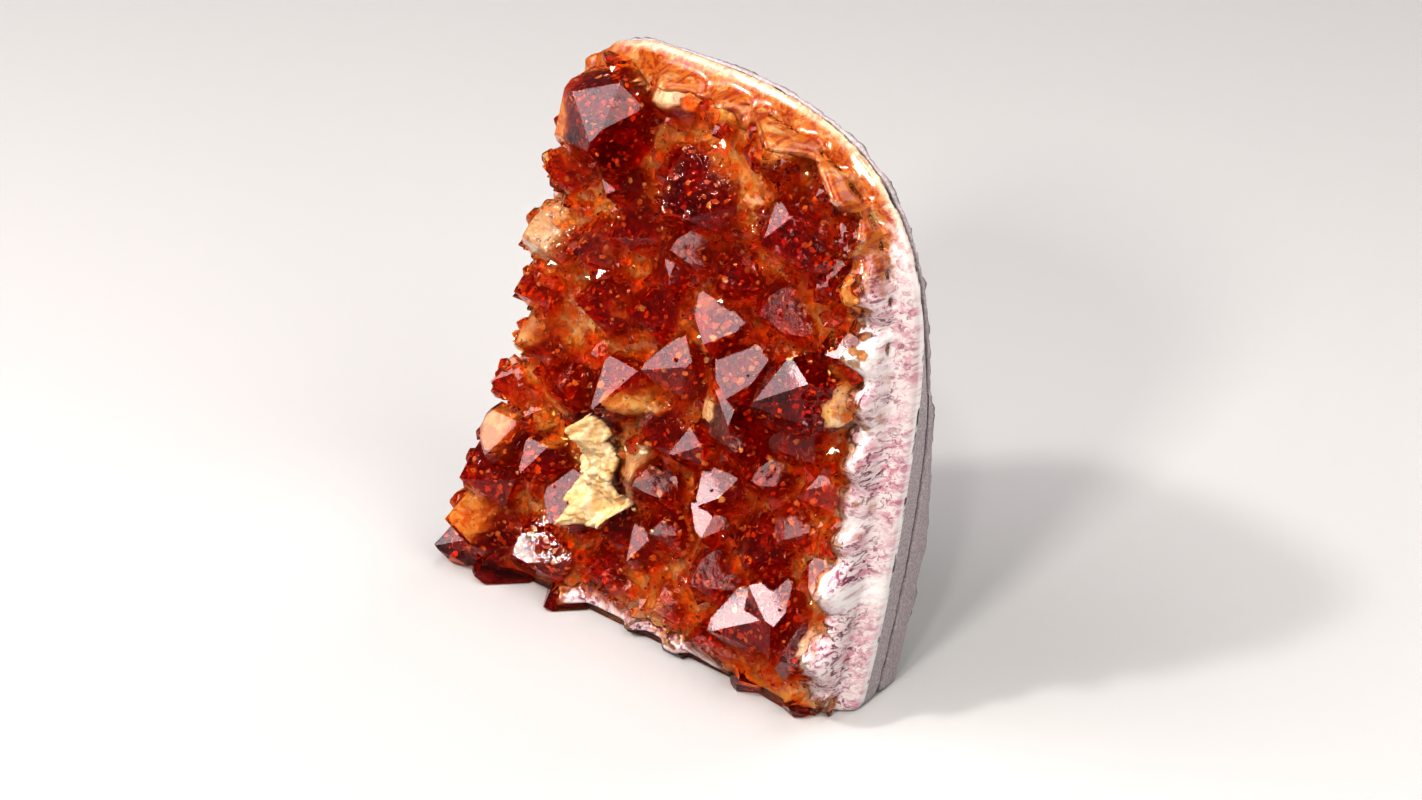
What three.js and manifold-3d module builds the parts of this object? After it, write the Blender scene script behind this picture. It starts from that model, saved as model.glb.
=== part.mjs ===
// A citrine druse sawn from the wall of a geode, standing on its flat sawn base.
// Three layers, from the back: the volcanic rock rind, the pale quartz wall whose rim is ground and
// polished along the right side and over the top, and the crust of citrine crystals grown together.
// Millimetres, +Z up. The crystal face looks along -Y and leans back; +X is the viewer's right.
import * as THREE from "three";
import { ConvexGeometry } from "three/addons/geometries/ConvexGeometry.js";
import { mergeVertices } from "three/addons/utils/BufferGeometryUtils.js";
import Module from "manifold-3d";

const wasm = await Module();
wasm.setup();
const { degToRad, lerp, smoothstep, seededRandom } = THREE.MathUtils;

// Driving dimensions. A place on the slab is (x, w, d): x across, w up along the leaning face, and d
// the depth behind the plane of the crystal bed.
const FACE_HEIGHT = 113; // along the lean, from the sawn base to the crest of the arch
const BASE_LEFT = -43;
const BASE_RIGHT = 46.5;
const FLANK = 48; // the right flank below the arch
const CREST_X = -5; // where the arch is highest
const LEAN = degToRad(10);
const SAW_ALLOWANCE = 34; // the layers run this far below the base before the saw cuts them
const RIM_THIN = 3; // depth of the quartz along the top
const RIM_DEEP = 8.5; // and along the lower right flank
const ROUND_THIN = 2; // how far the polished front edge of the rim rounds back along the top
const ROUND_DEEP = 5; // and along the lower right flank
const RIM_INSET = 3.6; // the crust is ground back this far inside the rim
const SHOULDER = 0.8; // share of the way to the edge where the rim starts to round back
const THICK_UP_TO = 52; // height along the lean where the slab starts to thin
const THIN_FROM = 104; // and where it is thinnest
const DISH = 4; // how far the middle of the crystal bed lies behind its edge
const BULGE = 13; // how much deeper the back of the slab is behind its middle
const BULGE_HALF_WIDTH = 49;
const BULGE_HALF_HEIGHT = 72;
const RIND_THIN = 1.4; // rind along the top
const RIND_THICK = 6; // rind low down
const RIND_THICK_UP_TO = 28;
const RIND_THIN_FROM = 66;
const BACK_LUMPS = 1.2; // relief of the natural back
const LUMP_SPREAD = 1.9; // how much broader the back's lumps are than those of the broken edge
const BED_THICK = 1.8; // citrine between the crystals
const LAYER_GAP = 0.3;
const BREAK_ROUGH = 1.5; // how far the broken left edge wanders
const BREAK_BLEND = [16, 28]; // distance to the left over which the rim gives way to the break
const OVERHANG = 4; // how far crystals hang out past the broken left edge

// Quartz: the faces of a tip stand this far from the crystal's axis, as do their normals from square.
const TIP_SLOPE = degToRad(51.8);
// The rest in half widths: how deep a crystal is rooted, how far its sides stand out, and how far its
// larger and smaller tip faces are set back from the tip.
const ROOT = 1.5;
const SIDE_REACH = [0.9, 1.1];
const MAJOR_SET_BACK = [0, 0.14];
const MINOR_SET_BACK = [0.08, 0.34];
// A broken crystal ends in a slanting level at this share of its rise.
const BREAK_NORMAL = new THREE.Vector3(0.22, -0.1, 1).normalize();
const BREAK_SHARE = 0.7;

// How finely the layers are cut into facets.
const AROUND = 60;
const RINGS = [0.45, 0.8];
const BACK_RINGS = [0.94, 0.84, 0.7, 0.54, 0.37, 0.2];
const CENTRE = new THREE.Vector2(2, 44);

// Faces that lie parallel all over the crust and catch the light together look this way.
const SHINE = new THREE.Vector3(0, -0.627, 0.779).normalize();
// Crystals with such a face, set by eye: x, w, half width, rise above the bed, degrees that the crystal
// is swung about SHINE, to the right when positive, and how far the face is set back, in half widths.
// A face set back is narrower.
const SHINING_CRYSTALS = [
  [-17, 98, 10, 16, 30, 0.26],
  [-12, 88, 4.5, 8, 0, 0.1],
  [0, 74, 5.5, 8, 25, 0.3],
  [12, 68, 7, 9, 0, 0],
  [-8, 48, 6, 11, -5, 0.1],
  [5, 56, 6, 10, -45, 0.15],
  [18, 61, 6.5, 11, 12, 0],
  [35, 63, 7.5, 15, -30, 0.25],
  [41, 73, 5, 7, -38, 0.1],
  [34, 86, 4.5, 8, 10, 0.3],
  [42, 86, 5.5, 8, -20, 0.3],
  [18, 51, 8, 12, 30, 0.3],
  [33, 54, 5, 9, -30, 0.3],
  [11, 43, 4.5, 9, -30, 0.25],
  [16, 37, 5.5, 9, 0, 0.15],
  [-33, 29, 5.5, 9, 0, 0.1],
  [-24, 28, 5, 9, 0, 0.2],
  [-16, 22, 6.5, 11, -5, 0],
  [0, 18, 5.5, 8, 0, 0.2],
  [14, 29, 5.5, 8, 20, 0.2],
  [39, 45, 5, 7, -35, 0.3],
  [42, 29, 5.5, 8, 10, 0.1],
  [28, 14, 7, 11, -35, 0.15],
  [31, 20, 6, 10, 35, 0.15],
  [33, 101, 6.5, 8, 28, 0],
  [37, 93, 5, 7, 20, 0.1],
];
// The other large crystals: x, w, half width, rise, then degrees of turn to the right, tilt up, and
// twist about the crystal's own axis.
const LARGE_CRYSTALS = [
  [4, 91, 10, 12, -3, -6, 48],
  [20, 105, 8, 9, 10, 4, 48],
  [-4, 106, 7, 7, 0, 10, 40],
  [7, 106, 7, 6, 6, 8, 5],
  [26, 91, 8.5, 11, -4, -2, 30],
  [3, 80, 6, 9, 2, 8, 28],
  [14, 79, 6.5, 9, 6, -4, 55],
  [25, 76, 7, 9, -4, 4, 25],
  [-9, 80, 7, 9, -6, -4, 33],
  [-25, 86, 5.5, 7, -18, 6, 20],
  [-17, 74, 6, 8, -8, -2, 10],
  [-27, 72, 7, 8, -16, 6, 44],
  [-3, 65, 6.5, 9, -4, 4, 16],
  [-14, 63, 7, 9, -8, 4, 12],
  [-28, 61, 5, 7, -18, 2, 52],
  [-28, 51, 6.5, 7, -10, 2, 36],
  [-21, 44, 6, 9, 22, 14, 0],
  [-33, 40, 5, 6, -14, 4, 18],
  [-14, 38, 5.5, 9, -8, 4, 8],
  [1, 43, 6.5, 9, -4, -4, 47],
  [0, 33, 7, 10, 8, 6, 34],
  [25, 44, 6.5, 9, 6, 6, 26],
  [33, 36, 6, 8, 10, 2, 49],
  [43, 53, 5, 7, 10, 4, 31],
  [43, 65, 5.5, 7, 12, 6, 20],
  [43, 38, 5, 6, 8, 8, 43],
  [27, 30, 7, 10, 6, -2, 22],
  [17, 19, 6, 9, -4, 6, 35],
  [5, 24, 5.5, 9, 2, 10, 39],
  [-6, 20, 5, 8, -4, 8, 14],
  [-35, 20, 6, 9, -16, 6, 50],
  [-36, 10, 7.5, 10, -20, 6, 24],
  [-41, 3, 5, 7, -22, 4, 9],
  [-23, 8, 7, 10, -10, 4, 46],
  [-32, 1, 6, 9, -10, -2, 20],
  [-17, 0, 5, 7, -6, 0, 38],
  [-8, 10, 6.5, 8, 2, 8, 19],
  [7, 9, 5, 7, 0, 4, 27],
  [18, 6, 6.5, 8, -6, 10, 30],
  [39, 14, 7.5, 10, 4, 4, 53],
  [43, 20, 4.5, 6, 6, 4, 13],
];
// The stump of a large crystal that broke off level, between its neighbours.
const STUMP = { x: -10, w: 30, halfWidth: 6, rise: 7.5, turn: -4, tilt: 4, twist: 15 };

// The small crystals that fill the gaps.
const SMALL_SEED = 41;
const SMALL_TRIES = 1500;
const SMALL_HALF_WIDTH = [2.4, 3.8];
const SMALL_RISE = [1.5, 2.1]; // in half widths
const SMALL_SPACING = 0.9; // of the two half widths
const SMALL_TURN = 18; // degrees either way

// Slab place to the upright frame.
function place(x, w, d) {
  return new THREE.Vector3(
    x,
    d * Math.cos(LEAN) + w * Math.sin(LEAN),
    w * Math.cos(LEAN) - d * Math.sin(LEAN),
  );
}

// Gentle lumps, about -1 to 1, for broken rock and the natural back.
function lumps(x, w, d) {
  return (
    0.5 * Math.sin(0.21 * x + 0.13 * w + 1.1) * Math.cos(0.17 * w - 0.19 * d) +
    0.3 * Math.sin(0.37 * w + 0.29 * d - 0.23 * x) +
    0.2 * Math.sin(0.53 * w - 0.41 * d + 2.3)
  );
}

// The slab's outline on its face: sawn base, right flank, arch and the broken left edge.
function outline() {
  const shape = new THREE.Shape();
  shape.moveTo(BASE_LEFT - 5, -SAW_ALLOWANCE);
  shape.lineTo(BASE_RIGHT - 5, -SAW_ALLOWANCE);
  shape.lineTo(BASE_RIGHT, 0);
  shape.bezierCurveTo(FLANK + 1.5, 24, FLANK + 2, 52, FLANK, 76);
  shape.bezierCurveTo(FLANK, 100, 36, FACE_HEIGHT + 2, CREST_X, FACE_HEIGHT);
  shape.bezierCurveTo(CREST_X - 9, FACE_HEIGHT + 1, CREST_X - 18, FACE_HEIGHT - 1, -27, 104);
  shape.lineTo(-31, 62);
  shape.lineTo(BASE_LEFT, 0);
  return shape.getSpacedPoints(AROUND).slice(0, AROUND);
}

const EDGE = outline();

// 1 on the broken left edge, 0 along the sawn and polished rim.
function brokenShare(point) {
  return smoothstep(-point.x, ...BREAK_BLEND);
}

// The place at share f of the way from the middle of the slab to its edge.
function across(point, f) {
  return new THREE.Vector2().lerpVectors(CENTRE, point, f);
}

// 1 where the slab is thick, low down, and 0 along the thin top.
function heft(w) {
  return 1 - smoothstep(w, THICK_UP_TO, THIN_FROM);
}

// Depth of the crystal bed: a shallow dish whose polished sides round back at the rim.
function bedDepth(point, f) {
  const dish = DISH * (1 - f * f);
  const round = lerp(ROUND_THIN, ROUND_DEEP, heft(across(point, f).y));
  return dish + round * smoothstep(f, SHOULDER, 1) * (1 - brokenShare(point));
}

// 1 behind the middle of the slab, falling smoothly to 0 towards its edge.
function bulge(x, w) {
  const away = Math.hypot((x - CENTRE.x) / BULGE_HALF_WIDTH, (w - CENTRE.y) / BULGE_HALF_HEIGHT);
  return Math.max(1 - away ** 2, 0) ** 1.5;
}

// Depth where the rind begins. The slab bulges behind its middle.
function rindFront(point, f) {
  const { x, y: w } = across(point, f);
  return lerp(ROUND_THIN + RIM_THIN, ROUND_DEEP + RIM_DEEP, heft(w)) + BULGE * bulge(x, w);
}

// Depth of the natural back. The rind is thick low down and thins towards the arch.
function backDepth(point, f) {
  const { x, y: w } = across(point, f);
  const thickness = lerp(RIND_THICK, RIND_THIN, smoothstep(w, RIND_THICK_UP_TO, RIND_THIN_FROM));
  const relief = BACK_LUMPS * (1 + lumps(x / LUMP_SPREAD, w / LUMP_SPREAD, 0)) * (1 - f ** 6);
  return rindFront(point, f) + thickness * (1 + 0.5 * bulge(x, w)) + relief;
}

// Vertices of one layer: a front and a back skin of rings round the middle, joined by side rings.
// Each ring is [share of the way to the edge, depth function].
function layerGeometry(rings, frontDepth, backMiddle) {
  const points = [place(CENTRE.x, CENTRE.y, frontDepth)];
  for (const [f, depth] of rings) {
    for (const edgePoint of EDGE) {
      const { x, y: w } = across(edgePoint, f);
      const d = depth(edgePoint, f);
      const stray = BREAK_ROUGH * brokenShare(edgePoint) * lumps(x, w, 3 * d) * smoothstep(f, 0.85, 1);
      points.push(place(x + stray, w, d));
    }
  }
  points.push(place(CENTRE.x, CENTRE.y, backMiddle));
  const index = [];
  const last = points.length - 1;
  for (let i = 0; i < AROUND; i++) {
    const next = (i + 1) % AROUND;
    index.push(0, 1 + i, 1 + next);
    for (let ring = 0; ring < rings.length - 1; ring++) {
      const a = 1 + ring * AROUND;
      const b = a + AROUND;
      const outwards = rings[ring + 1][0] >= rings[ring][0];
      // Facing skins split their quads along the same diagonal, so that they stay a gap apart.
      if (outwards) index.push(a + i, b + i, b + next, a + i, b + next, a + next);
      else index.push(a + i, b + i, a + next, b + i, b + next, a + next);
    }
    const rim = 1 + (rings.length - 1) * AROUND;
    index.push(last, rim + next, rim + i);
  }
  return new THREE.BufferGeometry().setFromPoints(points).setIndex(index);
}

// A closed geometry as a solid that can be joined and cut.
function solidOf(geometry) {
  const bare = new THREE.BufferGeometry().setAttribute("position", geometry.getAttribute("position"));
  bare.setIndex(geometry.index);
  const merged = mergeVertices(bare, 1e-4);
  return new wasm.Manifold(
    new wasm.Mesh({
      numProp: 3,
      vertProperties: merged.attributes.position.array,
      triVerts: new Uint32Array(merged.index.array),
    }),
  );
}

function geometryOf(solid) {
  const { vertProperties, triVerts } = solid.getMesh();
  const geometry = new THREE.BufferGeometry();
  geometry.setAttribute("position", new THREE.BufferAttribute(vertProperties, 3));
  geometry.setIndex(new THREE.BufferAttribute(triVerts, 1));
  return geometry;
}

// The corner where three faces meet. A face is { normal, reach }: the solid lies where normal.p <= reach.
function corner(a, b, c) {
  const bc = new THREE.Vector3().crossVectors(b.normal, c.normal);
  const volume = a.normal.dot(bc);
  if (Math.abs(volume) < 1e-6) return null;
  return bc
    .multiplyScalar(a.reach)
    .addScaledVector(new THREE.Vector3().crossVectors(c.normal, a.normal), b.reach)
    .addScaledVector(new THREE.Vector3().crossVectors(a.normal, b.normal), c.reach)
    .divideScalar(volume);
}

// A convex stone bounded by flat faces, from all the corners that lie inside every face.
function stone(faces) {
  const corners = [];
  for (let i = 0; i < faces.length; i++) {
    for (let j = i + 1; j < faces.length; j++) {
      for (let k = j + 1; k < faces.length; k++) {
        const p = corner(faces[i], faces[j], faces[k]);
        if (!p || faces.some((face) => face.normal.dot(p) > face.reach + 1e-5)) continue;
        if (corners.every((q) => q.distanceTo(p) > 1e-3)) corners.push(p);
      }
    }
  }
  return new ConvexGeometry(corners);
}

// A quartz crystal along +Z with its root at 0 and its tip at the rise. Three of the six tip faces
// grow larger than the other three, and no face is quite where symmetry would put it. The first tip
// face can be set back by a given amount, and a blunt crystal ends in a level break.
function crystalGeometry({ halfWidth, rise, setBack, blunt }) {
  const faces = [{ normal: new THREE.Vector3(0, 0, -1), reach: ROOT * halfWidth }];
  if (blunt) faces.push({ normal: BREAK_NORMAL, reach: BREAK_SHARE * rise });
  for (let side = 0; side < 6; side++) {
    const angle = (side * Math.PI) / 3;
    const out = new THREE.Vector3(Math.cos(angle), Math.sin(angle), 0);
    faces.push({ normal: out, reach: halfWidth * lerp(...SIDE_REACH, seededRandom()) });
    const slope = new THREE.Vector3(0, 0, Math.cos(TIP_SLOPE)).addScaledVector(out, Math.sin(TIP_SLOPE));
    const natural = lerp(...(side % 2 ? MINOR_SET_BACK : MAJOR_SET_BACK), seededRandom());
    const back = side === 0 && setBack !== undefined ? setBack : natural;
    faces.push({ normal: slope, reach: rise * Math.cos(TIP_SLOPE) + back * halfWidth });
  }
  return stone(faces);
}

// How a crystal stands that leans aside from the face by its turn and tilt.
function leaning({ turn, tilt, twist }) {
  const toFace = new THREE.Euler(Math.PI / 2 - LEAN - degToRad(tilt), 0, degToRad(turn), "ZXY");
  const aboutAxis = new THREE.Matrix4().makeRotationZ(degToRad(twist));
  return new THREE.Matrix4().makeRotationFromEuler(toFace).multiply(aboutAxis);
}

// How a crystal stands whose first tip face is square to SHINE.
function shining({ swing }) {
  const axis = place(0, 0, -1).projectOnPlane(SHINE).normalize();
  axis.applyAxisAngle(SHINE, degToRad(swing)).multiplyScalar(Math.sin(TIP_SLOPE));
  axis.addScaledVector(SHINE, Math.cos(TIP_SLOPE));
  const out = SHINE.clone().projectOnPlane(axis).normalize();
  return new THREE.Matrix4().makeBasis(out, new THREE.Vector3().crossVectors(axis, out), axis);
}

// A crystal set on the bed.
function grow(crystal) {
  const stance = "swing" in crystal ? shining(crystal) : leaning(crystal);
  stance.setPosition(place(crystal.x, crystal.w, bedAt(crystal.x, crystal.w)));
  return solidOf(crystalGeometry(crystal).applyMatrix4(stance));
}

// The bed's depth at a place, from the nearest direction on the outline.
function bedAt(x, w) {
  const from = new THREE.Vector2(x, w).sub(CENTRE);
  const towards = EDGE.reduce((best, point) => {
    const way = point.clone().sub(CENTRE);
    const near = way.dot(from) / way.length();
    return near > best.near ? { near, point } : best;
  }, { near: -Infinity, point: EDGE[0] }).point;
  const f = Math.min(from.length() / towards.distanceTo(CENTRE), 1);
  return bedDepth(towards, f);
}

function insideEdge(x, w, margin) {
  const from = new THREE.Vector2(x, w);
  return EDGE.every((a, i) => {
    const b = EDGE[(i + 1) % AROUND];
    const along = b.clone().sub(a);
    return along.cross(from.clone().sub(a)) / along.length() > margin;
  });
}

// Every crystal of the crust: the large ones, the stump, then small ones thrown into the gaps.
function crystalList() {
  const list = [
    ...SHINING_CRYSTALS.map(([x, w, halfWidth, rise, swing, setBack]) => (
      { x, w, halfWidth, rise, swing, setBack }
    )),
    ...LARGE_CRYSTALS.map(([x, w, halfWidth, rise, turn, tilt, twist]) => (
      { x, w, halfWidth, rise, turn, tilt, twist }
    )),
    { ...STUMP, blunt: true },
  ];
  seededRandom(SMALL_SEED);
  for (let i = 0; i < SMALL_TRIES; i++) {
    const x = lerp(BASE_LEFT, FLANK, seededRandom());
    const w = lerp(1, FACE_HEIGHT, seededRandom());
    const halfWidth = lerp(...SMALL_HALF_WIDTH, seededRandom());
    const clear = list.every((other) => (
      Math.hypot(other.x - x, other.w - w) > SMALL_SPACING * (other.halfWidth + halfWidth)
    ));
    if (!clear || !insideEdge(x, w, 1)) continue;
    const turn = SMALL_TURN * (2 * seededRandom() - 1);
    const tilt = SMALL_TURN * (2 * seededRandom() - 1);
    const rise = halfWidth * lerp(...SMALL_RISE, seededRandom());
    list.push({ x, w, halfWidth, rise, turn, tilt, twist: 60 * seededRandom() });
  }
  return list;
}

// A block that covers everything below the sawn base.
function belowBase() {
  return solidOf(new THREE.BoxGeometry(400, 400, 200).translate(0, 0, -100));
}

// All that lies outside the ground rim's outline, past the broken left edge's reach, is trimmed off
// the crust by keeping what this prism holds.
function rimPrism() {
  const points = EDGE.map((point) => {
    const share = brokenShare(point);
    const way = point.clone().sub(CENTRE);
    return point.clone().addScaledVector(way.normalize(), lerp(-RIM_INSET, OVERHANG, share));
  });
  const depth = 80;
  const settings = { depth, bevelEnabled: false, steps: 1 };
  const prism = new THREE.ExtrudeGeometry(new THREE.Shape(points), settings);
  prism.translate(0, 0, -depth / 2);
  prism.rotateX(Math.PI / 2 - LEAN);
  return solidOf(prism);
}

function onBed(offset) {
  return (point, f) => bedDepth(point, f) + offset;
}

function quartzWall() {
  const rings = [
    ...RINGS.map((f) => [f, onBed(0)]),
    [0.92, onBed(0)],
    [0.975, (point) => bedDepth(point, 0.975) + 0.8],
    [1, (point) => bedDepth(point, 1) + 2],
    [1, (point) => rindFront(point, 1) - LAYER_GAP],
    ...[...RINGS].reverse().map((f) => [f, (point) => rindFront(point, f) - LAYER_GAP]),
  ];
  return layerGeometry(rings, bedDepth(CENTRE, 0), rindFront(CENTRE, 0) - LAYER_GAP);
}

function rockRind() {
  const rings = [
    ...RINGS.map((f) => [f, rindFront]),
    [1, rindFront],
    [1, (point) => lerp(rindFront(point, 1), backDepth(point, 1), 0.8)],
    [0.985, (point) => backDepth(point, 1)],
    ...BACK_RINGS.map((f) => [f, backDepth]),
  ];
  return layerGeometry(rings, rindFront(CENTRE, 0), backDepth(CENTRE, 0));
}

// The bed that the crystals share, open only to what grows out of it.
function bed() {
  const front = onBed(-BED_THICK);
  const back = onBed(2);
  const rings = [
    ...RINGS.map((f) => [f, front]),
    [0.9, front],
    [0.9, back],
    ...[...RINGS].reverse().map((f) => [f, back]),
  ];
  return solidOf(layerGeometry(rings, bedDepth(CENTRE, 0) - BED_THICK, bedDepth(CENTRE, 0) + 2));
}

// What lies behind the crust: the wall's own front, a layer gap ahead of it, carried far back.
function behindCrust() {
  const front = onBed(-LAYER_GAP);
  const wide = 1.6;
  const far = 60;
  const rings = [
    ...RINGS.map((f) => [f, front]),
    [0.92, front],
    [wide, (point) => bedDepth(point, 1) - LAYER_GAP],
    [wide, () => far],
    ...[...RINGS].reverse().map((f) => [f, () => far]),
  ];
  return solidOf(layerGeometry(rings, bedDepth(CENTRE, 0) - LAYER_GAP, far));
}

// The largest closed body of a solid, without crumbs or sealed hollows.
function mainBody(solid) {
  return solid.decompose().reduce((best, one) => (one.volume() > best.volume() ? one : best));
}

function citrineCrust() {
  const whole = wasm.Manifold.union([bed(), ...crystalList().map(grow)]);
  return mainBody(whole.subtract(behindCrust()).intersect(rimPrism()).subtract(belowBase()));
}

function sawn(geometry) {
  return solidOf(geometry).subtract(belowBase());
}

const MATERIALS = {
  rock_rind: new THREE.MeshStandardMaterial({ color: 0x7d7a74, roughness: 0.85, metalness: 0 }),
  quartz_wall: new THREE.MeshStandardMaterial({ color: 0xe9dcd8, roughness: 0.3, metalness: 0 }),
  citrine_crystals: new THREE.MeshStandardMaterial({ color: 0xb0330c, roughness: 0.1, metalness: 0 }),
};

const druse = new THREE.Group();
const solids = {
  rock_rind: sawn(rockRind()),
  quartz_wall: sawn(quartzWall()),
  citrine_crystals: citrineCrust(),
};
for (const [name, solid] of Object.entries(solids)) {
  const mesh = new THREE.Mesh(geometryOf(solid), MATERIALS[name]);
  mesh.name = name;
  druse.add(mesh);
}

// The origin is the middle of the base of the whole stone's box.
const box = new THREE.Box3().setFromObject(druse);
const middle = box.getCenter(new THREE.Vector3());
druse.position.set(-middle.x, -middle.y, -box.min.z);

export default druse;
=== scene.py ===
"""Looks of a citrine druse: crystals on a quartz wall with a rock rind, standing on its sawn base."""
import logging
import math
import random
from collections.abc import Sequence
from dataclasses import dataclass, field
from enum import Enum

import bmesh
import bpy
import numpy as np
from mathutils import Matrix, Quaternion, Vector, noise
from mathutils.bvhtree import BVHTree


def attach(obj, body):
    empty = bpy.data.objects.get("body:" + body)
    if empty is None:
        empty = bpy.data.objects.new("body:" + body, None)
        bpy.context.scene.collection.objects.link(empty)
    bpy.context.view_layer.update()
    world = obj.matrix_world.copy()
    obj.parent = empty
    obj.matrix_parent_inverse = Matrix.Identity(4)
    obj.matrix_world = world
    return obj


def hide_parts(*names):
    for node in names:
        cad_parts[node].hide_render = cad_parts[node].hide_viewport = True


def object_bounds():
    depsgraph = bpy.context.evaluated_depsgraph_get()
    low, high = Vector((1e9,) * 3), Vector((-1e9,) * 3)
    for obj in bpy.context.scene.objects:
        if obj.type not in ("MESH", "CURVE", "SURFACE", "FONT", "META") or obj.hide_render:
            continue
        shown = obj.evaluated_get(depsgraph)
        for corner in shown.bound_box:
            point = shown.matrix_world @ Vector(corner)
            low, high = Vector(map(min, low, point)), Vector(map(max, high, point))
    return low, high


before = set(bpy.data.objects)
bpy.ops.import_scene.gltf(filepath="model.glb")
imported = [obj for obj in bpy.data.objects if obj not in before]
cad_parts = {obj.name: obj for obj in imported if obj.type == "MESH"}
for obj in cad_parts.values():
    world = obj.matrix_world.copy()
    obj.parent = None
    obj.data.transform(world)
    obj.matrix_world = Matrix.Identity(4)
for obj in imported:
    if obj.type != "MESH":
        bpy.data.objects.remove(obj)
CAD_BOX = [list(corner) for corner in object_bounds()]
MM = 0.001
LOG = logging.getLogger("druse")

# Shifts to the four neighbours of a place on a grid.
STEPS = ((1, 0), (-1, 0), (0, 1), (0, -1))
# Corners closer than this are one corner, in metres.
WELD = 1e-7
# How much weaker and how much finer each further octave of noise in a shape is.
OCTAVE_FALL, OCTAVE_FINER = 1.0, 2.0
# What stands lower than this, in metres, belongs to the flat sawn base and isn't roughened.
BASE = 1 * MM

Socket = bpy.types.NodeSocket
Colour = tuple[float, float, float]
Span = tuple[float, float]


class Layer(Enum):
    """The three layers of the stone, by the name of their solid."""

    CRUST = "citrine_crystals"
    WALL = "quartz_wall"
    RIND = "rock_rind"


class Slot(Enum):
    """Material slots of the record."""

    CITRINE = "citrine"
    QUARTZ = "quartz"
    ROCK = "rock"


@dataclass(frozen=True)
class Slab:
    """The leaning slab's own directions: x across, w up along the face and d the depth behind its bed."""

    lean: float = math.radians(10.0)
    origin: tuple[float, float, float] = (-1.947 * MM, -17.468 * MM, 0.0)

    @property
    def up(self) -> Vector:
        """The way w grows."""
        return Vector((0.0, math.sin(self.lean), math.cos(self.lean)))

    @property
    def inwards(self) -> Vector:
        """The way d grows, from the crystal face towards the back."""
        return Vector((0.0, math.cos(self.lean), -math.sin(self.lean)))

    def place(self, x: float, w: float, d: float) -> Vector:
        """A slab place in the row frame.

        Args:
            x: Metres across.
            w: Metres up along the face.
            d: Metres behind the bed's plane.

        Returns:
            The same place as row coordinates.
        """
        return Vector(self.origin) + Vector((x, 0.0, 0.0)) + self.up * float(w) + self.inwards * float(d)

    def coords(self, points: np.ndarray) -> np.ndarray:
        """Row coordinates as slab coordinates.

        Args:
            points: Row coordinates, one point a line.

        Returns:
            The x, w and d of each point.
        """
        local = points - np.array(self.origin)
        return np.stack([local[:, 0], local @ np.array(self.up), local @ np.array(self.inwards)], axis=1)


SLAB = Slab()


@dataclass(frozen=True)
class Pattern:
    """Noise with features size millimetres wide, and the span of its values over which patches come in."""

    size: float
    octaves: float = 4.0
    rough: float = 0.5
    warp: float = 0.0
    span: Span = (0.0, 1.0)


# Sawn rock, which shows on the rind and in a strip of the rim beside it.
SAWN_ROCK: Colour = (0.24, 0.20, 0.21)
PALE_ROCK: Colour = (0.38, 0.34, 0.34)
ROCK_GRAIN = Pattern(0.45, 5.0, 0.7, span=(0.35, 0.7))


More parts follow.
